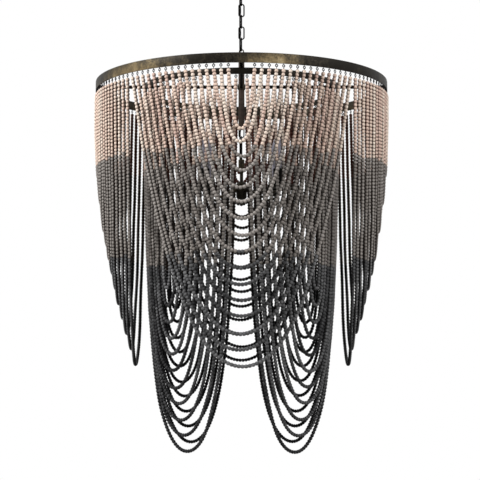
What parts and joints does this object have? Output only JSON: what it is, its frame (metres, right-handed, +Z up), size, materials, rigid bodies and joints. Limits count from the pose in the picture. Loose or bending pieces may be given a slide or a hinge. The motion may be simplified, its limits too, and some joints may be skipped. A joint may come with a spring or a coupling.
{
  "type": "beaded chandelier",
  "caption": "Round hanging chandelier: nested swags of wooden bead strands on two metal hoops, a chain, a canopy and a candle lamp cluster inside.",
  "frame": {"origin": "middle of the ceiling plate's flat top face, where it meets the ceiling", "axes": "+Z up, out of the ceiling plate; +Y from the front to the back; +X to the right seen from the front"},
  "size_m": [0.766, 0.766, 1.2931],
  "materials": {
    "aged_brass": "patinated",
    "dark_iron": "satin",
    "wood_beads": "painted",
    "bulb_glass": "clear",
    "candle_sleeve": "satin",
    "woven_cord": "woven"
  },
  "bodies": {
    "mount": {"ceiling_plate": "dark_iron", "canopy": "aged_brass", "canopy_screw_left": "aged_brass", "canopy_screw_right": "aged_brass", "canopy_loop": "dark_iron", "power_cord": "woven_cord"},
    "link_1": {"chain_link_1": "dark_iron"},
    "link_2": {"chain_link_2": "dark_iron"},
    "link_3": {"chain_link_3": "dark_iron"},
    "link_4": {"chain_link_4": "dark_iron"},
    "link_5": {"chain_link_5": "dark_iron"},
    "link_6": {"chain_link_6": "dark_iron"},
    "frame": {"stem_loop": "dark_iron", "stem": "dark_iron", "hub": "aged_brass", "outer_hoop": "aged_brass", "inner_hoop": "aged_brass", "stem_eye": "dark_iron", "spoke_right": "dark_iron", "spoke_back": "dark_iron", "spoke_left": "dark_iron", "spoke_front": "dark_iron", "rings_outer_right": "dark_iron", "rings_outer_back": "dark_iron", "rings_outer_left": "dark_iron", "rings_outer_front": "dark_iron", "rings_inner_back_right": "dark_iron", "rings_inner_back_left": "dark_iron", "rings_inner_front_left": "dark_iron", "rings_inner_front_right": "dark_iron"},
    "lamps": {"lamp_hanger": "dark_iron", "lamp_body": "aged_brass", "finial": "aged_brass", "arm_1": "aged_brass", "drip_pan_1": "aged_brass", "candle_sleeve_1": "candle_sleeve", "arm_2": "aged_brass", "drip_pan_2": "aged_brass", "candle_sleeve_2": "candle_sleeve", "arm_3": "aged_brass", "drip_pan_3": "aged_brass", "candle_sleeve_3": "candle_sleeve", "arm_4": "aged_brass", "drip_pan_4": "aged_brass", "candle_sleeve_4": "candle_sleeve"},
    "bulb_1_body": {"bulb_1": "bulb_glass"},
    "bulb_2_body": {"bulb_2": "bulb_glass"},
    "bulb_3_body": {"bulb_3": "bulb_glass"},
    "bulb_4_body": {"bulb_4": "bulb_glass"},
    "outer_right_swag": {"swag_outer_right": "wood_beads"},
    "outer_back_swag": {"swag_outer_back": "wood_beads"},
    "outer_left_swag": {"swag_outer_left": "wood_beads"},
    "outer_front_swag": {"swag_outer_front": "wood_beads"},
    "inner_back_right_swag": {"swag_inner_back_right": "wood_beads"},
    "inner_back_left_swag": {"swag_inner_back_left": "wood_beads"},
    "inner_front_left_swag": {"swag_inner_front_left": "wood_beads"},
    "inner_front_right_swag": {"swag_inner_front_right": "wood_beads"}
  },
  "joints": [
    {"name": "chain_hinge_1", "type": "hinge", "parent": "mount", "child": "link_1", "pos_m": [0, 0, -0.067], "axis": [0, 1, 0], "range_deg": [-12, 12], "deforming": ["power_cord"]},
    {"name": "chain_hinge_2", "type": "hinge", "parent": "link_1", "child": "link_2", "pos_m": [0, 0, -0.0975], "axis": [1, 0, 0], "range_deg": [-12, 12], "deforming": ["power_cord"]},
    {"name": "chain_hinge_3", "type": "hinge", "parent": "link_2", "child": "link_3", "pos_m": [0, 0, -0.128], "axis": [0, 1, 0], "range_deg": [-12, 12], "deforming": ["power_cord"]},
    {"name": "chain_hinge_4", "type": "hinge", "parent": "link_3", "child": "link_4", "pos_m": [0, 0, -0.1585], "axis": [1, 0, 0], "range_deg": [-12, 12], "deforming": ["power_cord"]},
    {"name": "chain_hinge_5", "type": "hinge", "parent": "link_4", "child": "link_5", "pos_m": [0, 0, -0.189], "axis": [0, 1, 0], "range_deg": [-12, 12], "deforming": ["power_cord"]},
    {"name": "chain_hinge_6", "type": "hinge", "parent": "link_5", "child": "link_6", "pos_m": [0, 0, -0.2195], "axis": [1, 0, 0], "range_deg": [-12, 12], "deforming": ["power_cord"]},
    {"name": "frame_hinge", "type": "hinge", "parent": "link_6", "child": "frame", "pos_m": [0, 0, -0.25], "axis": [0, 1, 0], "range_deg": [-12, 12], "deforming": ["power_cord"]},
    {"name": "lamp_swing", "type": "hinge", "parent": "frame", "child": "lamps", "pos_m": [0, 0, -0.4828], "axis": [1, 0, 0], "range_deg": [-8, 8], "deforming": ["power_cord"]},
    {"name": "bulb_1_turn", "type": "hinge", "parent": "lamps", "child": "bulb_1_body", "pos_m": [0.09192, 0.09192, -0.577], "axis": [0, 0, 1], "continuous": true},
    {"name": "bulb_2_turn", "type": "hinge", "parent": "lamps", "child": "bulb_2_body", "pos_m": [-0.09192, 0.09192, -0.577], "axis": [0, 0, 1], "continuous": true},
    {"name": "bulb_3_turn", "type": "hinge", "parent": "lamps", "child": "bulb_3_body", "pos_m": [-0.09192, -0.09192, -0.577], "axis": [0, 0, 1], "continuous": true},
    {"name": "bulb_4_turn", "type": "hinge", "parent": "lamps", "child": "bulb_4_body", "pos_m": [0.09192, -0.09192, -0.577], "axis": [0, 0, 1], "continuous": true},
    {"name": "outer_right_sway", "type": "hinge", "parent": "frame", "child": "outer_right_swag", "pos_m": [0.32983, 0, -0.3765], "axis": [0, -1, 0], "range_deg": [-2.5, 5], "deforming": ["rings_outer_right"]},
    {"name": "outer_back_sway", "type": "hinge", "parent": "frame", "child": "outer_back_swag", "pos_m": [0, 0.32983, -0.3765], "axis": [1, 0, 0], "range_deg": [-2.5, 5], "deforming": ["rings_outer_back"]},
    {"name": "outer_left_sway", "type": "hinge", "parent": "frame", "child": "outer_left_swag", "pos_m": [-0.32983, 0, -0.3765], "axis": [0, 1, 0], "range_deg": [-2.5, 5], "deforming": ["rings_outer_left"]},
    {"name": "outer_front_sway", "type": "hinge", "parent": "frame", "child": "outer_front_swag", "pos_m": [0, -0.32983, -0.3765], "axis": [-1, 0, 0], "range_deg": [-2.5, 5], "deforming": ["rings_outer_front"]},
    {"name": "inner_back_right_sway", "type": "hinge", "parent": "frame", "child": "inner_back_right_swag", "pos_m": [0.16084, 0.16084, -0.3765], "axis": [0.7071, -0.7071, 0], "range_deg": [-2.5, 2.5], "deforming": ["rings_inner_back_right"]},
    {"name": "inner_back_left_sway", "type": "hinge", "parent": "frame", "child": "inner_back_left_swag", "pos_m": [-0.16084, 0.16084, -0.3765], "axis": [0.7071, 0.7071, 0], "range_deg": [-2.5, 2.5], "deforming": ["rings_inner_back_left"]},
    {"name": "inner_front_left_sway", "type": "hinge", "parent": "frame", "child": "inner_front_left_swag", "pos_m": [-0.16084, -0.16084, -0.3765], "axis": [-0.7071, 0.7071, 0], "range_deg": [-2.5, 2.5], "deforming": ["rings_inner_front_left"]},
    {"name": "inner_front_right_sway", "type": "hinge", "parent": "frame", "child": "inner_front_right_swag", "pos_m": [0.16084, -0.16084, -0.3765], "axis": [-0.7071, -0.7071, 0], "range_deg": [-2.5, 2.5], "deforming": ["rings_inner_front_right"]}
  ]
}
